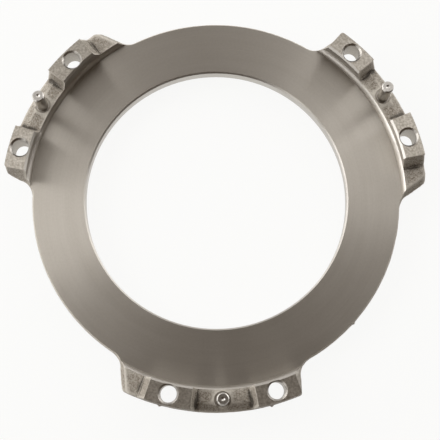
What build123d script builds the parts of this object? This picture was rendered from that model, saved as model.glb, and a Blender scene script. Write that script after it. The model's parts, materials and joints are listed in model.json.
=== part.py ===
from build123d import *
from math import atan2, cos, degrees, hypot, isclose, radians, sin, tan
import os

# Clutch pressure plate: an iron casting with three lugs, and a steel pin pressed into each lug.
# Millimetres. The origin is on the ring's axis in the plane of the ground friction face, +Z points
# out of that face, and the first lug's pin lies on -Y. Seen from above, each lug has its short
# end anticlockwise of the pin and its long low end clockwise of it.

# ---------------------------------------------------------------- driving dimensions
lug_count = 3

# Ring
rim_d = 202.0            # as-cast outer diameter
rim_bevel = 1.0          # cast bevel between the rim and the friction face
bore_d = 143.5           # machined bore
bore_chamfer = 0.8       # both ends of the bore
plate_thickness = 8.0    # friction face to back
back_edge_bevel = 1.6    # cast bevel between the rim and the back

# Spring ridge on the back, which the diaphragm spring's rim presses on
ridge_inset = 13.5       # rim to the middle of the ridge's crest
ridge_height = 5.0
crest_width = 3.2        # machined flat along the crest
ridge_draft = 25.0       # degrees, each flank
ridge_root_bevel = 1.5

# Lug heights, all from the friction face
pad_height = 12.0        # machined pad tops
floor_height = 3.2       # as-cast recess and low end, at their inner edge
underside_depth = 2.5    # lug's underside, below the friction face

# Lug section, each a radial distance outwards from the rim
foot_step = 1.1          # foot of the machined inner wall, where the friction face ends
floor_step = 3.0         # top of the machined inner wall, where the cast floor starts
neck_step = 2.5          # cast wall just under the pad's chamfer
pad_step = 3.6           # inner edge of the pad top
hole_step = 8.25         # pitch circle of the holes and pins
shoulder_step = 10.5     # where the floor starts to fall away outwards
outer_step = 14.35       # outer edge of the pad top
chamfer_drop = 1.1       # height of the chamfer along the pad's inner edge
wall_radius = 4.0        # hollow of the machined inner wall, from the tool's nose
outer_draft = 3.4        # degrees, the lug's cast outer wall
shoulder_fall = 30.0     # degrees below level, the floor outside the shoulder
shoulder_radius = 3.0

# Lug plan: angles in degrees about the ring's axis, counted from the pin. A is the short end.
hole_angle = 15.0
end_a_angle = 22.9       # short end at the underside, on the pitch circle, parallel to the pin's radius
end_b_angle = 29.6       # long low end at the underside, on the pitch circle
end_b_flare = -3.5       # its line turns in a little from the pin's radius
end_b_draft = 27.0       # from the vertical
pad_a_outer_angle = 21.2     # short end at the pad top, on the pitch circle
pad_a_flare = 17.0           # and the way its edge turns out from the pin's radius
pad_a_inner_angle = 9.3
pad_b_inner_angle = 8.5
pad_b_outer_angle = 20.8
foot_a_inner_angle = 8.0     # the same walls where they meet the floor
foot_b_inner_angle = 7.5
foot_b_outer_angle = 22.9
root_a_radius = 10.0     # concave blends from the lug's ends into the rim
root_b_radius = 10.0
root_top_radius = 1.5    # the same blends at pad height
corner_a_radius = 1.5    # convex corners at the lug's outer wall
corner_b_radius = 3.5
wall_foot_radius = 1.4   # cast blends from the pads' side walls into the floors
underside_blend = 2.0    # cast bevel between the underside and the rim

# Holes and pins
hole_d = 9.0
hole_chamfer = 1.0
pin_d = 6.5
shank_oversize = 0.5     # diameter of the end that is pressed into the lug, less the pin's
pin_height = 19.5        # top of the pin above the friction face
pin_chamfer = 0.6
pin_lead = 0.4           # chamfer on the shank's end
spot_d = 9.0             # machined spot round the pin's foot
spot_depth = 0.5
centre_mark_d = 2.2      # cone left by the lathe centre in the pin's top
centre_mark_depth = 0.5

# Stubs left on the casting by its moulding vents
vent_d = 2.2
vent_height = 1.5
vent_proud = 0.7         # how far a stub stands out of its wall
lug_vent_angles = (13.0, -16.8)
rim_vent_angle = 45.4

# ---------------------------------------------------------------- derived sizes
rim_r = rim_d / 2
hole_r = hole_d / 2
pitch_r = rim_r + hole_step
foot_r = rim_r + foot_step
floor_r = rim_r + floor_step
neck_r = rim_r + neck_step
pad_r = rim_r + pad_step
shoulder_r = rim_r + shoulder_step
outer_r = rim_r + outer_step
lug_depth = pad_height + underside_depth
pin_length = pin_height + underside_depth
shank_r = (pin_d + shank_oversize) / 2
shank_length = floor_height - spot_depth + underside_depth
outer_base_r = outer_r + lug_depth * tan(radians(outer_draft))
low_end_reach = 50.0     # degrees from the pin, past the long end
clear = 10.0             # how far cutting shapes run past what they cut
front_lug = -90.0        # direction of the first pin

os.makedirs("parts", exist_ok=True)


def polar(radius, angle):
    """Point at an angle about the ring's axis, measured from the pin's own radius."""
    return (radius * cos(radians(angle)), radius * sin(radians(angle)))


def end_line(angle, flare, inset=0.0):
    """Two points of a lug's end, as a line through the pitch circle at that angle."""
    x, y = polar(pitch_r, angle)
    side = 1 if y > 0 else -1
    slope = side * tan(radians(flare))
    y -= side * inset
    reach = 4 * hole_step
    return (x - reach, y - slope * reach), (x + reach, y + slope * reach)


def from_pin(vertex):
    """Angle of a vertex from the nearest lug's pin, positive towards the short end."""
    pitch = 360 / lug_count
    return (degrees(atan2(vertex.Y, vertex.X)) - front_lug + pitch / 2) % pitch - pitch / 2


def between(low, high, height, low_height=-underside_depth):
    """Value at a height, drawn evenly from its values at a lower height and at the pad top."""
    return low + (high - low) * (height - low_height) / (pad_height - low_height)


def casting_plan(height, disc_r):
    """Outline of the disc with its lugs, at one height."""
    outer = between(outer_base_r, outer_r, height)
    draft = between(0, lug_depth * tan(radians(end_b_draft)), height)
    end_a = end_line(between(end_a_angle, pad_a_outer_angle, height), between(0, pad_a_flare, height))
    end_b = end_line(-end_b_angle, end_b_flare, draft)
    with BuildSketch(Plane.XY.offset(height)) as plan:
        with PolarLocations(0, lug_count, start_angle=front_lug):
            Polygon(end_a[0], end_a[1], end_b[1], end_b[0], align=None)
        Circle(outer, mode=Mode.INTERSECT)
        Circle(disc_r)
        for at_r, side, radius in (
            (disc_r, 1, between(root_a_radius, root_top_radius, height)),
            (disc_r, -1, between(root_b_radius, root_top_radius, height)),
            (outer, 1, corner_a_radius),
            (outer, -1, corner_b_radius),
        ):
            fillet([v for v in plan.vertices()
                    if isclose(hypot(v.X, v.Y), at_r, abs_tol=0.01) and side * from_pin(v) > 0],
                   radius=radius)
    return plan.sketch


def sector(height, start_angle, end_angle):
    """Wedge of a ring between two angles, at one height."""
    reach = outer_base_r + clear
    with BuildSketch(Plane.XY.offset(height)) as wedge:
        Polygon(polar(rim_r - clear, start_angle), polar(reach, start_angle),
                polar(reach, end_angle), polar(rim_r - clear, end_angle), align=None)
    return wedge.sketch


# ---------------------------------------------------------------- space above one lug's floors
# The recess round the pin falls away at its outer edge.
with BuildPart() as above_recess:
    loft(sections=[
        sector(height, between(-foot_b_inner_angle, -pad_b_inner_angle, height, floor_height),
               between(foot_a_inner_angle, pad_a_inner_angle, height, floor_height))
        for height in (-underside_depth, pad_height + 1)
    ], ruled=True)
    with BuildSketch(Plane.XZ) as recess_section:
        fall = (outer_base_r + clear - shoulder_r) * tan(radians(shoulder_fall))
        Polygon((rim_r - clear, floor_height), (shoulder_r, floor_height),
                (outer_base_r + clear, floor_height - fall),
                (outer_base_r + clear, pad_height + 1), (rim_r - clear, pad_height + 1), align=None)
        shoulder = recess_section.vertices().sort_by_distance((shoulder_r, floor_height))[0]
        fillet(shoulder, radius=shoulder_radius)
    revolve(axis=Axis.Z, mode=Mode.INTERSECT)

# The long low end is level out to its edge.
with BuildPart() as above_low_end:
    loft(sections=[
        sector(height, -low_end_reach,
               between(-foot_b_outer_angle, -pad_b_outer_angle, height, floor_height))
        for height in (floor_height, pad_height + 1)
    ], ruled=True)

# ---------------------------------------------------------------- bevel under the lugs
with BuildPart() as under_lugs:
    with BuildSketch(Plane.XY.offset(-underside_depth)):
        add(casting_plan(-underside_depth, rim_r))
    extrude(amount=-underside_blend)
    with BuildSketch(Plane.XZ) as blend_section:
        Polygon((rim_r, -underside_depth - underside_blend), (rim_r + underside_blend, -underside_depth),
                (bore_d / 2 + clear, -underside_depth),
                (bore_d / 2 + clear, -underside_depth - underside_blend), align=None)
    revolve(axis=Axis.Z, mode=Mode.INTERSECT)

# ---------------------------------------------------------------- the casting
with BuildPart() as pressure_plate:
    # Disc and lugs, drafted from the lugs' underside to their pads.
    loft(sections=[
        casting_plan(height, disc_r)
        for height, disc_r in ((-underside_depth, rim_r), (-rim_bevel, rim_r), (0, rim_r - rim_bevel),
                               (pad_height, rim_r - rim_bevel))
    ], ruled=True)
    with BuildSketch(Plane.XZ) as friction_side:
        with BuildLine():
            inner_wall = RadiusArc((foot_r, 0), (floor_r, floor_height), radius=wall_radius)
            Polyline(inner_wall @ 1, (neck_r, pad_height - chamfer_drop), (pad_r, pad_height),
                     (outer_base_r + clear, pad_height), (outer_base_r + clear, -underside_depth),
                     (0, -underside_depth), (0, 0), inner_wall @ 0)
        make_face()
    revolve(axis=Axis.Z, mode=Mode.INTERSECT)
    with PolarLocations(0, lug_count, start_angle=front_lug):
        add([above_recess.part, above_low_end.part], mode=Mode.SUBTRACT)

    # Cast blends where the pads' side walls stand on the floors.
    feet = []
    for lug in range(lug_count):
        for wall_angle in (foot_a_inner_angle, -foot_b_inner_angle, -foot_b_outer_angle):
            for radius in (floor_r + 1, shoulder_r, outer_base_r - 2):
                x, y = polar(radius, front_lug + lug * 360 / lug_count + wall_angle)
                feet.append(pressure_plate.edges().sort_by_distance((x, y, floor_height))[0])
    fillet(feet, radius=wall_foot_radius)

    # Back of the ring, and the ridge on it.
    with BuildSketch(Plane.XZ) as back_side:
        Polygon((0, -underside_depth), (rim_r, -underside_depth), (rim_r, -plate_thickness),
                (0, -plate_thickness), align=None)
        rim_back = back_side.vertices().sort_by_distance((rim_r, -plate_thickness))[0]
        chamfer(rim_back, length=back_edge_bevel)
        ridge_r = rim_r - ridge_inset
        half_root = crest_width / 2 + ridge_height * tan(radians(ridge_draft))
        crest_z = -plate_thickness - ridge_height
        Polygon((ridge_r - half_root, -plate_thickness), (ridge_r - crest_width / 2, crest_z),
                (ridge_r + crest_width / 2, crest_z), (ridge_r + half_root, -plate_thickness),
                align=None)
        for side in (-1, 1):
            root = (ridge_r + side * half_root, -plate_thickness)
            chamfer(back_side.vertices().sort_by_distance(root)[0], length=ridge_root_bevel)
    revolve(axis=Axis.Z)

    # Machined bore.
    Hole(bore_d / 2)
    bore_ends = [e for e in pressure_plate.edges().filter_by(GeomType.CIRCLE)
                 if isclose(e.radius, bore_d / 2) and e.is_closed]
    chamfer(bore_ends, length=bore_chamfer)

    # Cast bevel between each lug's underside and the rim.
    add(under_lugs.part)

    # A strap hole through each pad, and the pin's bore with its machined spot in the recess.
    for side in (-hole_angle, hole_angle):
        with PolarLocations(pitch_r, lug_count, start_angle=front_lug + side):
            with Locations((0, 0, pad_height)):
                CounterSinkHole(hole_r, hole_r + hole_chamfer, counter_sink_angle=90)
    with PolarLocations(pitch_r, lug_count, start_angle=front_lug):
        with Locations((0, 0, floor_height)):
            CounterBoreHole(shank_r, spot_d / 2, spot_depth)

    # Stubs of the moulding vents, on the first lug's outer wall and on the rim.
    vents = [(outer_base_r, angle) for angle in lug_vent_angles] + [(rim_r, rim_vent_angle)]
    for wall_r, angle in vents:
        with Locations((*polar(wall_r + vent_proud - vent_d / 2, front_lug + angle), -underside_depth)):
            Cylinder(vent_d / 2, vent_height, align=(Align.CENTER, Align.CENTER, Align.MIN))
pressure_plate.part.label = "pressure_plate"
export_step(pressure_plate.part, "parts/pressure_plate.step")

# ---------------------------------------------------------------- the pins
# Turned steel. The shank is pressed in flush with the lug's underside, up to the machined spot.
for number in range(1, lug_count + 1):
    x, y = polar(pitch_r, front_lug + (number - 1) * 360 / lug_count)
    with BuildPart(Plane((x, y, -underside_depth))) as stop_pin:
        Cylinder(pin_d / 2, pin_length, align=(Align.CENTER, Align.CENTER, Align.MIN))
        chamfer(stop_pin.edges().sort_by(Axis.Z)[-1], length=pin_chamfer)
        Cylinder(shank_r, shank_length, align=(Align.CENTER, Align.CENTER, Align.MIN))
        chamfer(stop_pin.edges().sort_by(Axis.Z)[0], length=pin_lead)
        with Locations((0, 0, pin_length)):
            Cone(0, centre_mark_d / 2, centre_mark_depth,
                 align=(Align.CENTER, Align.CENTER, Align.MAX), mode=Mode.SUBTRACT)
    stop_pin.part.label = f"stop_pin_{number}"
    export_step(stop_pin.part, f"parts/stop_pin_{number}.step")
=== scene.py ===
# %% [markdown]
# # A clutch pressure plate, finished for rendering
#
# The part is an iron ring that clamps a clutch disc. One side is ground flat; three cast lugs
# stand up round its rim, each with two faced pads, a drilled hole in each pad, and a steel pin
# pressed in between. This lesson loads the exact solids, rebuilds the casting's skin with the
# roughness of sand-cast iron, and gives every machined face the marks of the tool that cut it.
# Lengths are in metres.

# %% Load the frame
import json
from math import cos, hypot, pi, radians, sin

import bmesh
import bpy
import numpy as np
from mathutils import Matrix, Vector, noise


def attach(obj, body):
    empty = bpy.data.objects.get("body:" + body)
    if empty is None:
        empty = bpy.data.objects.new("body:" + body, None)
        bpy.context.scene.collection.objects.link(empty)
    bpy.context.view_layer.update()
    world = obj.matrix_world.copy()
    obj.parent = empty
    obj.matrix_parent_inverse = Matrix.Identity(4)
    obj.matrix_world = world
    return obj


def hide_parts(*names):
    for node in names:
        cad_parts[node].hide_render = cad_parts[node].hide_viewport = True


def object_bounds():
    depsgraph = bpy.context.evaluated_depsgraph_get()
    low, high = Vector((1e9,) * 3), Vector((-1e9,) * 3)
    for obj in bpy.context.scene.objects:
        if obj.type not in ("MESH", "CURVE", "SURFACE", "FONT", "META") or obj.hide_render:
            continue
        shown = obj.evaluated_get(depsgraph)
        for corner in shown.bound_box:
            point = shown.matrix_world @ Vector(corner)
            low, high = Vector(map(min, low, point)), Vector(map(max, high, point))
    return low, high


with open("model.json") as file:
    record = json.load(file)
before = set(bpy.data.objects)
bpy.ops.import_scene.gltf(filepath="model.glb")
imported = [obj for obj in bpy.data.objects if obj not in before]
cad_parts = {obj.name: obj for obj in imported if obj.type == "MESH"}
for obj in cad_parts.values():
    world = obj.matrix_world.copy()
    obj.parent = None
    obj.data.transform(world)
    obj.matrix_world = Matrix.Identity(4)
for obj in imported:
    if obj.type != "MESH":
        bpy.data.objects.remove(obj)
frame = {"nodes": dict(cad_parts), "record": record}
cad_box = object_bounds()
mounts = {mount["name"]: mount for mount in frame["record"]["mounts"]}
MM = 0.001
print("nodes:", sorted(frame["nodes"]))
print("size in mm:", [round((high - low) / MM, 1) for low, high in zip(*cad_box)])

# %% [markdown]
# ## Camera
#
# The plate lies on a table and is seen from almost straight above, slightly from the side of
# the single lug at the front. A long lens about half a metre away keeps the ring nearly round.
# The camera could be aimed with a Track To constraint, but a fixed place and three angles say
# exactly where it is and need nothing else.

# %% Camera
camera = bpy.data.objects.new("camera", bpy.data.cameras.new("camera"))
camera.data.lens = 84.99
camera.data.sensor_width = 36.0
camera.data.clip_start = 0.01
camera.location = (-0.008367, -0.121334, 0.556744)
camera.rotation_euler = (radians(11.0905), radians(-0.6846), radians(-1.7779))
bpy.context.scene.collection.objects.link(camera)
bpy.context.scene.camera = camera
bpy.context.scene.view_settings.view_transform = "Standard"
print("camera at", [round(v, 3) for v in camera.location])

# %% [markdown]
# ## Shader nodes as sums
#
# A finish is mostly arithmetic on patterns. Its Math nodes could be added and linked one by
# one, but then a short sum takes many lines. Wrapping an output socket in a small class lets
# the arithmetic be written as Python expressions: each operator adds its Math node. Every
# other node comes from one method, which takes the node's type, its settings and its inputs.


# %% A socket that can be added and multiplied
class Wire:
    """An output socket of a material's nodes."""

    def __init__(self, socket):
        self.socket = socket

    def node(self, kind, settings, inputs, output=0):
        """Adds a node to the same material; its settings go in first, then its inputs."""
        node = self.socket.id_data.nodes.new(kind)
        for name, value in settings.items():
            if name == "stops":
                ramp = node.color_ramp.elements
                while len(ramp) < len(value):
                    ramp.new(0.5)
                for element, (place, level) in zip(ramp, value):
                    element.position = place
                    element.color = (level, level, level, 1.0)
            else:
                setattr(node, name, value)
        ready = [socket for socket in node.inputs if socket.enabled]
        for name, value in inputs.items():
            socket = ready[name] if isinstance(name, int) else next(
                socket for socket in ready if socket.name == name)
            if isinstance(value, Wire):
                self.socket.id_data.links.new(value.socket, socket)
            else:
                socket.default_value = value
        if isinstance(output, str):
            return Wire(node.outputs[output])
        return Wire([socket for socket in node.outputs if socket.enabled][output])

    def math(self, operation, *values):
        """Adds a Math node; its values are wires or plain numbers."""
        return self.node("ShaderNodeMath", {"operation": operation}, dict(enumerate(values)))

    def __add__(self, other):
        return self.math("ADD", self, other)

    def __mul__(self, other):
        return self.math("MULTIPLY", self, other)

    def __pow__(self, other):
        return self.math("POWER", self, other)

    def __rpow__(self, other):
        return self.math("POWER", other, self)

    __radd__ = __add__
    __rmul__ = __mul__


print("a wire can be added, multiplied and raised to a power")

# %% [markdown]
# ## Where a finish starts and ends
#
# Every finish here is one Principled shader with patterns linked into it. The patterns could
# be laid out on a UV map, but that needs unwrapping and shows its seams. In the object's own
# coordinates they have their true size in metres and run on over every edge. So one helper
# makes a material and hands over those coordinates, and the other fills in the shader.


# %% Start and finish a material
def new_material(name):
    """A material with its shader and its output, and the object's own coordinates."""
    material = bpy.data.materials.new(name)
    material.use_nodes = True
    coordinates = material.node_tree.nodes.new("ShaderNodeTexCoord")
    return material, Wire(coordinates.outputs["Object"])


def finish(material, values):
    """Sets the material's shader: linked patterns and plain constants alike."""
    shader = material.node_tree.nodes["Principled BSDF"]
    for name, value in values.items():
        if isinstance(value, Wire):
            material.node_tree.links.new(value.socket, shader.inputs[name])
        else:
            shader.inputs[name].default_value = value
    print("finish:", material.name, "with", len(material.node_tree.nodes), "nodes")


print("helpers:", new_material.__name__, "and", finish.__name__)

# %% [markdown]
# ## Patterns that every finish uses
#
# Iron is never one even grey. Three patterns make most of its look: a soft mottle, a fine
# grain, which is the same noise made smaller, and rings that follow the tool round the
# ring's axis. A Wave texture has rings, but they are all alike. Noise that changes quickly
# with the radius and slowly along the face looks cut by a real tool, because no ring in it
# is perfect.


# %% Mottle, rings and mixed colours
def mottle(place, per_metre, detail=2.0):
    """Noise between 0 and 1, with that many blotches to the metre."""
    return place.node("ShaderNodeTexNoise", {"noise_dimensions": "3D"},
                      {"Vector": place, "Scale": per_metre, "Detail": detail, "Roughness": 0.55})


def apart(place):
    """The three coordinates as separate numbers."""
    return [place.node("ShaderNodeSeparateXYZ", {}, {"Vector": place}, axis) for axis in range(3)]


def tool_rings(place, per_metre, drift, detail=3.0):
    """Noise that turns round the axis: fine across the radius or the height, slow along it."""
    x, y, z = apart(place)
    radius = (x * x + y * y) ** 0.5
    stretched = place.node("ShaderNodeCombineXYZ", {},
                           {"X": (radius + z) * per_metre, "Y": x * drift, "Z": y * drift})
    return place.node("ShaderNodeTexNoise", {"noise_dimensions": "3D"},
                      {"Vector": stretched, "Scale": 1.0, "Detail": detail, "Roughness": 0.6})


def blend_colours(amount, first, second):
    """From the first colour to the second as the amount goes from 0 to 1."""
    first, second = (colour if isinstance(colour, Wire) else (*colour, 1.0)
                     for colour in (first, second))
    return amount.node("ShaderNodeMix", {"data_type": "RGBA", "clamp_factor": True},
                       {"Factor": amount, "A": first, "B": second})


def bump(height, depth):
    """A normal from a height pattern; the depth is in metres."""
    return height.node("ShaderNodeBump", {}, {"Height": height, "Distance": depth})


def steps(value, *stops):
    """Reads a number through a ramp of (place, level) stops."""
    return value.node("ShaderNodeValToRGB", {"stops": stops}, {"Fac": value})


print("patterns:", ", ".join(pattern.__name__ for pattern in (mottle, tool_rings)))

# %% [markdown]
# ## Ground iron
#
# The friction face is ground in circles. Light spreads across the grooves and hardly along
# them, which is what makes bright and dark sectors of the ring. Grooves in the mesh would
# take millions of faces, and grooves finer than a pixel can't be seen in a bump. The shader's
# anisotropy does it with one number: Cycles turns its tangent round the middle of the mesh's
# texture space, and a quarter turn of Anisotropic Rotation points it across the grooves.

# %% Ground iron
ground_iron, place = new_material("ground_iron")
fine_rings = tool_rings(place, 2600.0, 40.0)
broad_rings = tool_rings(place, 240.0, 9.0)
cloud = mottle(place, 34.0)
speckle = mottle(place, 800.0, 2.0)
tone = steps(fine_rings * 0.25 + broad_rings * 0.25 + cloud * 0.25 + speckle * 0.25,
             (0.3, 0.0), (0.7, 1.0))
finish(ground_iron, {
    "Base Color": blend_colours(tone, (0.466, 0.430, 0.378), (0.564, 0.528, 0.474)),
    "Metallic": 1.0,
    "Roughness": 0.36 + broad_rings * 0.04 + cloud * 0.06,
    "Anisotropic": 0.9,
    "Anisotropic Rotation": 0.25,
    "Normal": bump(fine_rings, 0.000006),
})

# %% [markdown]
# ## Turned iron
#
# The bore, the inner walls of the lugs, the chamfers of the holes and the crest of the ridge
# on the back were cut by a pointed tool, which leaves coarser rings than grinding does. The
# ground face's material could serve here too, but with fewer and deeper rings and half the
# anisotropy the cut edges shine more evenly, as turned iron does.

# %% Turned iron
turned_iron, place = new_material("turned_iron")
feed_rings = tool_rings(place, 1500.0, 25.0, 2.0)
cloud = mottle(place, 60.0)
tone = steps(feed_rings * 0.5 + cloud * 0.5, (0.3, 0.0), (0.7, 1.0))
finish(turned_iron, {
    "Base Color": blend_colours(tone, (0.505, 0.475, 0.430), (0.630, 0.602, 0.560)),
    "Metallic": 1.0,
    "Roughness": 0.34 + cloud * 0.08,
    "Anisotropic": 0.5,
    "Anisotropic Rotation": 0.25,
    "Normal": bump(feed_rings, 0.000012),
})

# %% [markdown]
# ## Faced iron
#
# The pads are faced with a worn tool in an interrupted cut. They are flat, but the iron's
# grain is torn open, so they look speckled and less bright than the ring. The pits are too
# small to be worth faces of their own, so one noise drives most of the colour, the roughness
# and a bump together, and every dark speck is also a hollow.

# %% Faced iron
faced_iron, place = new_material("faced_iron")
torn = mottle(place, 900.0, 3.0)
patches = mottle(place, 240.0, 2.0)
feed_rings = tool_rings(place, 1300.0, 30.0, 2.0)
tone = steps(torn * 0.7 + patches * 0.2 + feed_rings * 0.1, (0.38, 0.0), (0.62, 1.0))
finish(faced_iron, {
    "Base Color": blend_colours(tone, (0.390, 0.350, 0.295), (0.640, 0.600, 0.535)),
    "Metallic": 1.0,
    "Roughness": 0.38 + torn * 0.12,
    "Anisotropic": 0.75,
    "Anisotropic Rotation": 0.25,
    "Normal": bump(torn, 0.00003),
})

# %% [markdown]
# ## Drilled iron
#
# The strap holes and the spots round the pins are cut by drills, so their marks don't follow
# the ring. Rings round each hole's own axis would need a pattern for every hole. In holes of
# this size a plain fine grain looks much the same.

# %% Drilled iron
drilled_iron, place = new_material("drilled_iron")
grain = mottle(place, 900.0, 3.0)
finish(drilled_iron, {
    "Base Color": blend_colours(grain, (0.260, 0.228, 0.188), (0.560, 0.520, 0.460)),
    "Metallic": 1.0,
    "Roughness": 0.36 + grain * 0.12,
    "Normal": bump(grain, 0.00006),
})

# %% [markdown]
# ## Cast iron
#
# Everything the tools left alone keeps the skin of the sand mould: pitted, dull and a little
# brown. Its larger humps are in the mesh, and the shader adds the grains of sand, which are
# about half a millimetre across, as light crowns with dark pits between them. The outer edges
# are painted lighter, partly as rubbed iron and partly as a painted highlight, and the inner
# corners are painted almost black as painted shade. The Geometry node's Pointiness could tell
# them apart, but it changes with how finely the mesh is cut. A number stored on each point of
# the mesh, made further down, does it instead: near 1 on an edge, near 0 in a corner and about
# a half elsewhere.

# %% Cast iron
cast_iron, place = new_material("cast_iron")
sand = mottle(place, 1500.0, 3.0)
clumps = mottle(place, 620.0, 2.0)
stain = mottle(place, 70.0, 3.0)
grains = steps(sand * 0.75 + clumps * 0.25, (0.34, 0.0), (0.66, 1.0))
tone = steps(grains * 0.75 + stain * 0.25, (0.1, 0.0), (0.9, 1.0))
wear = place.node("ShaderNodeAttribute", {"attribute_name": "wear"}, {}, "Fac")
# Painted shade: the inner corners darken, read from the number stored on the mesh.
painted_corner_shade = steps(wear, (0.10, 0.75), (0.48, 0.0))
# The outer edges are lighter: partly rubbed iron, partly a painted highlight.
rubbed_and_highlight = steps(wear, (0.62, 0.0), (0.95, 0.8))
skin_colour = blend_colours(tone, (0.165, 0.134, 0.102), (0.600, 0.556, 0.486))
# The inner corners are painted almost black as painted shade.
skin_colour = blend_colours(painted_corner_shade, skin_colour, (0.018, 0.013, 0.009))
finish(cast_iron, {
    "Base Color": blend_colours(rubbed_and_highlight, skin_colour, (0.680, 0.640, 0.570)),
    "Metallic": 0.15,
    "Roughness": 0.50 + sand * 0.16,
    "Specular IOR Level": 0.15,
    "Normal": bump(grains, 0.00005),
})

# %% [markdown]
# ## Pin steel
#
# The pins are turned from bar, so they are brighter and cleaner than the iron round them. The
# turned iron's rings could be used here, but they would be centred on the plate and not on
# the pin, so a fine grain with a few soft smears stands for the bar's own marks.

# %% Pin steel
turned_steel, place = new_material("turned_steel")
grain = mottle(place, 1100.0, 2.0)
smear = mottle(place, 260.0, 2.0)
finish(turned_steel, {
    "Base Color": blend_colours(smear, (0.46, 0.435, 0.40), (0.70, 0.675, 0.635)),
    "Metallic": 1.0,
    "Roughness": 0.28 + grain * 0.12,
    "Normal": bump(grain, 0.00003),
})

# %% [markdown]
# ## Which tool made which face
#
# The casting starts as a copy of the exact solid's mesh, with the points that its flat faces
# repeat merged. Its faces could be picked by hand, but picked again whenever the solid
# changes. Instead each face is sorted by where it lies and which way it points, as ground,
# turned, faced, drilled or left as cast.

# %% Sizes that sort the faces
GROUND, TURNED, FACED, DRILLED, CAST = range(5)
FINISHES = (ground_iron, turned_iron, faced_iron, drilled_iron, cast_iron)
LEVEL = 0.999             # a flat face's normal is at least this upright
LEANING = 0.3             # the share of a direction that a leaning face's normal has
hair = 0.03 * MM          # a distance too small to matter
slack = 0.05 * MM
bore_radius = mounts["centre_bore"]["dims"]["r_mm"] * MM
bore_chamfer = 0.8 * MM
foot_radius = 102.1 * MM  # where the friction face ends at a lug's inner wall
pad_radius = 104.6 * MM   # inner edge of the pads' tops
floor_height = 3.2 * MM   # cast floor beside the pads
pad_height = 12.0 * MM
crest_height = cad_box[0][2]
holes = [mount for name, mount in mounts.items() if name.startswith("strap_hole")]
hole_axes = [hole["pos_m"] for hole in holes]
hole_chamfer = 1.0 * MM
hole_reach = holes[0]["dims"]["r_mm"] * MM + hole_chamfer + slack
spot_radius = 4.5 * MM    # machined spot round a pin's foot
pin_circle = mounts["stop_pins"]["dims"]["pcd_mm"] * MM / 2
pin_axes = [(pin_circle * cos(radians(angle)), pin_circle * sin(radians(angle)))
            for angle in (-90, 30, 150)]
print("holes:", len(hole_axes), "pins:", len(pin_axes))


# %% Which tool made a face
def all_near(face, axes, reach):
    """Whether every corner of the face is that close to one of the vertical axes."""
    return any(all(hypot(v.co.x - axis[0], v.co.y - axis[1]) < reach for v in face.verts)
               for axis in axes)


def finish_of(face):
    """The tool that made a face."""
    normal, centre = face.normal, face.calc_center_median()
    radius = hypot(centre.x, centre.y)
    inward = -(normal.x * centre.x + normal.y * centre.y) / radius
    flat = abs(normal.z) > LEVEL
    if flat and normal.z > 0 and abs(centre.z) < hair:
        return GROUND
    if radius < bore_radius + bore_chamfer + hair:
        return TURNED
    if flat and centre.z > pad_height - hair:
        return FACED
    if flat and centre.z < crest_height + hair:
        return TURNED
    if inward > LEANING and foot_radius - hair < radius < pad_radius + hair and centre.z > 0:
        return TURNED
    if not flat and all_near(face, hole_axes, hole_reach):
        return TURNED if normal.z > LEANING else DRILLED
    if centre.z < floor_height + hair and all_near(face, pin_axes, spot_radius + slack):
        return DRILLED
    return CAST


print("finishes:", [material.name for material in FINISHES])

# %% Sort the faces
same_place, no_length = 1e-7, 1e-8
shape = bmesh.new()
shape.from_mesh(frame["nodes"]["pressure_plate"].data)
bmesh.ops.remove_doubles(shape, verts=shape.verts, dist=same_place)
bmesh.ops.dissolve_degenerate(shape, dist=no_length, edges=shape.edges)
shape.normal_update()
for face in shape.faces:
    face.material_index = finish_of(face)
print("faces by tool:", [sum(face.material_index == kind for face in shape.faces)
                         for kind in range(len(FINISHES))])

# %% [markdown]
# ## A finer skin for the cast faces
#
# The solid's mesh has long thin triangles, which can't hold a rough surface. Halving every
# edge of a cast face that is too long, again and again, gives the skin enough points.
# A voxel remesh would be simpler, but it would round off the machined edges as well. The
# halving works on plain arrays: each round splits a triangle in two, three or four,
# by how many of its edges are halved.

# %% Points, triangles and their finishes
bmesh.ops.triangulate(shape, faces=shape.faces)
shape.verts.index_update()
points = np.array([vert.co for vert in shape.verts])
triangles = np.array([[vert.index for vert in face.verts] for face in shape.faces])
kinds = np.array([face.material_index for face in shape.faces])
shape.free()
print("points:", len(points), "triangles:", len(triangles))


# %% Each edge once
def edges_of(triangles):
    """Each edge once, and which edge every triangle's three sides are."""
    sides = np.sort(np.stack([triangles, np.roll(triangles, -1, axis=1)], axis=2), axis=2)
    edges, index = np.unique(sides.reshape(-1, 2), axis=0, return_inverse=True)
    return edges, index.reshape(-1, 3)


print("edges before halving:", len(edges_of(triangles)[0]))


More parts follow.
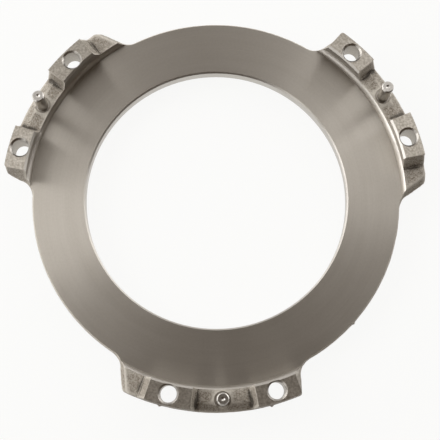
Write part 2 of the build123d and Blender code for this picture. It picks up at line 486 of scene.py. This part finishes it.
# %% Halve the long edges
def halve(points, triangles, kinds, longest):
    """One round. Returns the new arrays, and how many edges were halved."""
    edges, sides = edges_of(triangles)
    cast = np.zeros(len(edges), bool)
    cast[sides[kinds == CAST]] = True
    ends = points[edges]
    split = cast & (np.linalg.norm(ends[:, 0] - ends[:, 1], axis=1) > longest)
    middle = np.full(len(edges), -1)
    middle[split] = len(points) + np.arange(split.sum())
    points = np.vstack([points, ends[split].mean(axis=1)])
    pieces, owners = [triangles[~split[sides].any(axis=1)]], [kinds[~split[sides].any(axis=1)]]
    for turn in range(3):
        a, b, c = np.roll(triangles, -turn, axis=1).T
        ab, bc, ca = np.roll(middle[sides], -turn, axis=1).T
        one = (ab >= 0) & (bc < 0) & (ca < 0)
        two = (ab >= 0) & (bc >= 0) & (ca < 0)
        three = (ab >= 0) & (bc >= 0) & (ca >= 0) & (turn == 0)
        across = np.linalg.norm(points[a] - points[bc], axis=1) < np.linalg.norm(
            points[ab] - points[c], axis=1)
        for chosen, corners in (
            (one, ((a, ab, c), (ab, b, c))),
            (two, ((ab, b, bc),)),
            (two & across, ((a, ab, bc), (a, bc, c))),
            (two & ~across, ((a, ab, c), (ab, bc, c))),
            (three, ((a, ab, ca), (ab, b, bc), (ca, bc, c), (ab, bc, ca))),
        ):
            for triple in corners:
                pieces.append(np.stack(triple, axis=1)[chosen])
                owners.append(kinds[chosen])
    return points, np.vstack(pieces), np.concatenate(owners), split.sum()


skin_edge = 1.6 * MM
halved = 1
while halved:
    points, triangles, kinds, halved = halve(points, triangles, kinds, skin_edge)
print("points:", len(points), "triangles:", len(triangles))

# %% [markdown]
# ## Rounded edges
#
# Sand can't hold a sharp edge, so the cast edges are relaxed a little: each point moves half
# the way to the middle of its neighbours, twice. A Smooth modifier does the same, but it
# would need a weight for every point. Here the points that touch a machined face simply stay
# where they are, which keeps the machined edges crisp.

# %% Relax the cast skin
relax_rounds = 2
half_way = 0.5
edges, sides = edges_of(triangles)
free = np.ones(len(points), bool)
free[triangles[kinds != CAST]] = False
cast_edges = edges[np.unique(sides[kinds == CAST])]
neighbours = np.maximum(np.bincount(cast_edges.ravel(), minlength=len(points)), 1)


def neighbour_mean(values):
    """The middle of what each point's neighbours on the cast skin hold; values are in rows."""
    total = np.zeros_like(values)
    for near, far in ((0, 1), (1, 0)):
        np.add.at(total, cast_edges[:, near], values[cast_edges[:, far]])
    return total / neighbours[:, None]


for _ in range(relax_rounds):
    points[free] += half_way * (neighbour_mean(points) - points)[free]
print("free points:", free.sum())

# %% Make the casting's mesh
casting = bpy.data.objects.new("pressure_plate_casting", bpy.data.meshes.new("casting"))
skin = casting.data
skin.from_pydata(points, [], triangles)
for material in FINISHES:
    skin.materials.append(material)
skin.polygons.foreach_set("material_index", kinds.astype(np.int32))
skin.update()
point_normals = np.zeros(len(points) * 3)
skin.vertex_normals.foreach_get("vector", point_normals)
point_normals = point_normals.reshape(-1, 3)
print("casting:", len(skin.vertices), "points,", len(skin.polygons), "faces")

# %% [markdown]
# ## Lighter edges and painted shade in corners
#
# The skin is lighter where it bends outwards, partly as rubbed iron and partly as a painted
# highlight, and darker where it bends inwards, as painted shade. This could be drawn on, and
# drawn again after every change. Here it is measured: from one point to the next, the turn of
# the normal over the distance is the skin's curvature. Each point takes the strongest turn
# outwards and inwards among its neighbours and shares it with them a few times, so that the
# lighter edge stays near the edge and the painted shade creeps out of the corner.

# %% Measure how the skin bends
near, far = cast_edges.T
along = points[far] - points[near]
turns = ((point_normals[far] - point_normals[near]) * along).sum(axis=1)
turns /= np.maximum((along ** 2).sum(axis=1), hair ** 2)
outward, inward = np.zeros(len(points)), np.zeros(len(points))
for ends in (near, far):
    np.maximum.at(outward, ends, turns)
    np.minimum.at(inward, ends, turns)
full_turn = 0.45 / MM     # the curvature of a whole edge or corner
bends = (outward + inward) / full_turn
print("bends:", np.round(np.percentile(bends[free], (1, 10, 50, 90, 99)), 2))


# %% Store the lighter edges and the painted shade
def spread(values, rounds):
    """Shares what each point of the skin holds with its neighbours, that many times."""
    values = values[:, None]
    for _ in range(rounds):
        values = values + half_way * (neighbour_mean(values) - values)
    return values


edge_rounds, corner_rounds = 2, 7
corner_gain = 2.0         # makes up for the wider spread
# Lighter outer edges: rubbed iron and a painted highlight.
rubbing_and_highlight = spread(np.clip(bends, 0.0, 1.0), edge_rounds)
# Painted shade in the inner corners.
corner_shading = corner_gain * spread(np.clip(bends, -1.0, 0.0), corner_rounds)
# Above a half the edges are painted lighter, below it the corners are painted darker.
wear = 0.5 + 0.5 * np.clip(rubbing_and_highlight + corner_shading, -1.0, 1.0)
skin.attributes.new("wear", "FLOAT", "POINT").data.foreach_set("value", wear.ravel())
print("wear:", np.round(np.percentile(wear[free], (1, 10, 50, 90, 99)), 2))

# %% [markdown]
# ## The mould's roughness
#
# A skin cast in sand is uneven: soft waves where the sand was rammed, and pits from its
# coarser grains. A Displace modifier could follow one noise after the other, but it too would
# need weights. Here the free points sink by up to a fraction of a millimetre, following noise
# of both sizes. The skin only ever sinks, so the part stays inside its solid's size.

# %% Roughen the cast skin
wave_size, wave_depth = 9.0 * MM, 0.10 * MM
grit_size, grit_depth = 2.2 * MM, 0.16 * MM
sinks = np.array([wave_depth * (0.5 + 0.5 * noise.noise(point / wave_size))
                  + grit_depth * (0.5 + 0.5 * noise.noise(point / grit_size))
                  for point in points]) * free
points -= point_normals * sinks[:, None]
skin.vertices.foreach_set("co", points.ravel())
skin.update()
print("deepest:", round(sinks.max() / MM, 2), "mm")

# %% [markdown]
# ## The casting as one object
#
# Edges between two finishes, and sharp edges of machined faces, stay crisp; all the rest is
# shaded smooth. Shading by angle alone would also crease the rough skin, so each edge is
# marked by the finishes on its two sides. The texture space is centred on the ring's axis for
# the anisotropy above.

# %% Crisp edges
crisp = radians(25.0)
no_area = 1e-15
corners = points[triangles]
face_normals = np.cross(corners[:, 1] - corners[:, 0], corners[:, 2] - corners[:, 0])
face_normals /= np.maximum(np.linalg.norm(face_normals, axis=1), no_area)[:, None]
order = np.argsort(sides.ravel(), kind="stable")
first, second = (order // 3).reshape(-1, 2).T
fold = np.arccos(np.clip((face_normals[first] * face_normals[second]).sum(axis=1), -1, 1))
sharp = (kinds[first] != kinds[second]) | ((kinds[first] != CAST) & (fold > crisp))
place_of = {tuple(pair): index for index, pair in enumerate(edges)}
for edge in skin.edges:
    edge.use_edge_sharp = bool(sharp[place_of[tuple(sorted(edge.vertices))]])
skin.polygons.foreach_set("use_smooth", np.ones(len(triangles), bool))
print("crisp edges:", sharp.sum(), "of", len(edges))

# %% Texture space and place in the model
texture_reach = 0.12
skin.use_auto_texspace = False
skin.texspace_location = (0.0, 0.0, 0.0)
skin.texspace_size = (texture_reach, texture_reach, texture_reach)
bpy.context.scene.collection.objects.link(casting)
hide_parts("pressure_plate")
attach(casting, "root")
print(casting.name, "stands for the solid pressure_plate")

# %% [markdown]
# ## The pins
#
# Each pin is a cylinder with a small chamfer and, in its top, the cone that the lathe's centre
# left. It could be copied and cut finer, as the casting is, but a smooth turned pin gains
# nothing from that. So the pins keep the exact solids' shape and take the steel.

# %% Give the pins their steel
pins = [frame["nodes"][f"stop_pin_{number}"] for number in (1, 2, 3)]
for pin in pins:
    pin.data.materials.clear()
    pin.data.materials.append(turned_steel)
print("steel pins:", len(pins))

# %% [markdown]
# ## Table and light
#
# The plate rests on a plain white table, which lies a hair below the ridge on its back, as
# two faces in one plane would show as patches. More light would whiten the table, but it
# would wash out the iron as well. Instead the table sends most of its white straight to the
# camera and to reflections, and the rest is an ordinary pale surface that takes the shadow.
# The light is a few large soft panels with a dim warm room round them, and the room too is
# white where the camera sees it past the table. A panel's brightness is given on the scale
# where 1 is white.

# %% Table
table = bpy.data.objects.new("table", bpy.data.meshes.new("table"))
half = 20.0               # half its side
top = crest_height - hair
table.data.from_pydata([(-half, -half, top), (half, -half, top), (half, half, top),
                        (-half, half, top)], [], [(0, 1, 2, 3)])
bpy.context.scene.collection.objects.link(table)
print("table at", round(top / MM, 2), "mm")

# %% White of the table
white_share = 0.92
table_white, place = new_material("table_white")
finish(table_white, {"Base Color": (0.80, 0.79, 0.77, 1.0), "Roughness": 0.9,
                     "Specular IOR Level": 0.0})
nodes = table_white.node_tree.nodes
rays = [place.node("ShaderNodeLightPath", {}, {}, f"Is {kind} Ray")
        for kind in ("Camera", "Glossy", "Transmission")]
seen = rays[0]
for ray in rays[1:]:
    seen = seen.math("MAXIMUM", seen, ray)
white = seen.node("ShaderNodeEmission", {}, {"Color": (1.0, 1.0, 0.99, 1.0), "Strength": 1.0})
both = seen.node("ShaderNodeMixShader", {}, {
    0: seen * white_share, 1: Wire(nodes["Principled BSDF"].outputs[0]), 2: white})
table_white.node_tree.links.new(both.socket, nodes["Material Output"].inputs["Surface"])
table.data.materials.append(table_white)
print("white straight to the camera:", white_share)

# %% Panels of soft light
distance = 1.2
PANELS = {                # azimuth, elevation, width, height, brightness
    "key": (180, 38, 0.75, 0.6, 1.8),
    "left": (172, 23, 0.95, 1.25, 1.85),
    "back_left_low": (135, 14, 0.75, 0.85, 1.9),
    "back_left_high": (135, 49, 0.75, 1.05, 0.86),
    "back": (90, 29, 0.8, 0.98, 1.12),
    "back_right_low": (45, 14, 0.75, 0.85, 2.0),
    "back_right_high": (45, 49, 0.75, 1.05, 1.10),
    "right_low": (16, 8, 0.7, 0.6, 2.0),
    "front_left_low": (222, 13, 0.52, 0.6, 1.7),
}
for name, (azimuth, elevation, width, height, brightness) in PANELS.items():
    lamp = bpy.data.lights.new(name, "AREA")
    lamp.shape = "RECTANGLE"
    lamp.size, lamp.size_y = width, height
    lamp.energy = brightness * pi * width * height
    panel = bpy.data.objects.new(name, lamp)
    around, up = radians(azimuth), radians(elevation)
    panel.location = (distance * cos(up) * cos(around), distance * cos(up) * sin(around),
                      distance * sin(up))
    panel.rotation_euler = panel.location.to_track_quat("Z", "Y").to_euler()
    bpy.context.scene.collection.objects.link(panel)
print("panels:", ", ".join(PANELS))

# %% Room
DIM_ROOM = (0.054, 0.034, 0.018)
WHITE_ROOM = (0.96, 0.96, 0.94)
world = bpy.data.worlds.new("room")
world.use_nodes = True
air = world.node_tree.nodes["Background"]
seen = Wire(air.outputs[0]).node("ShaderNodeLightPath", {}, {}, "Is Camera Ray")
room_light = blend_colours(seen, DIM_ROOM, WHITE_ROOM)
world.node_tree.links.new(room_light.socket, air.inputs["Color"])
bpy.context.scene.world = world
print("room light:", DIM_ROOM)
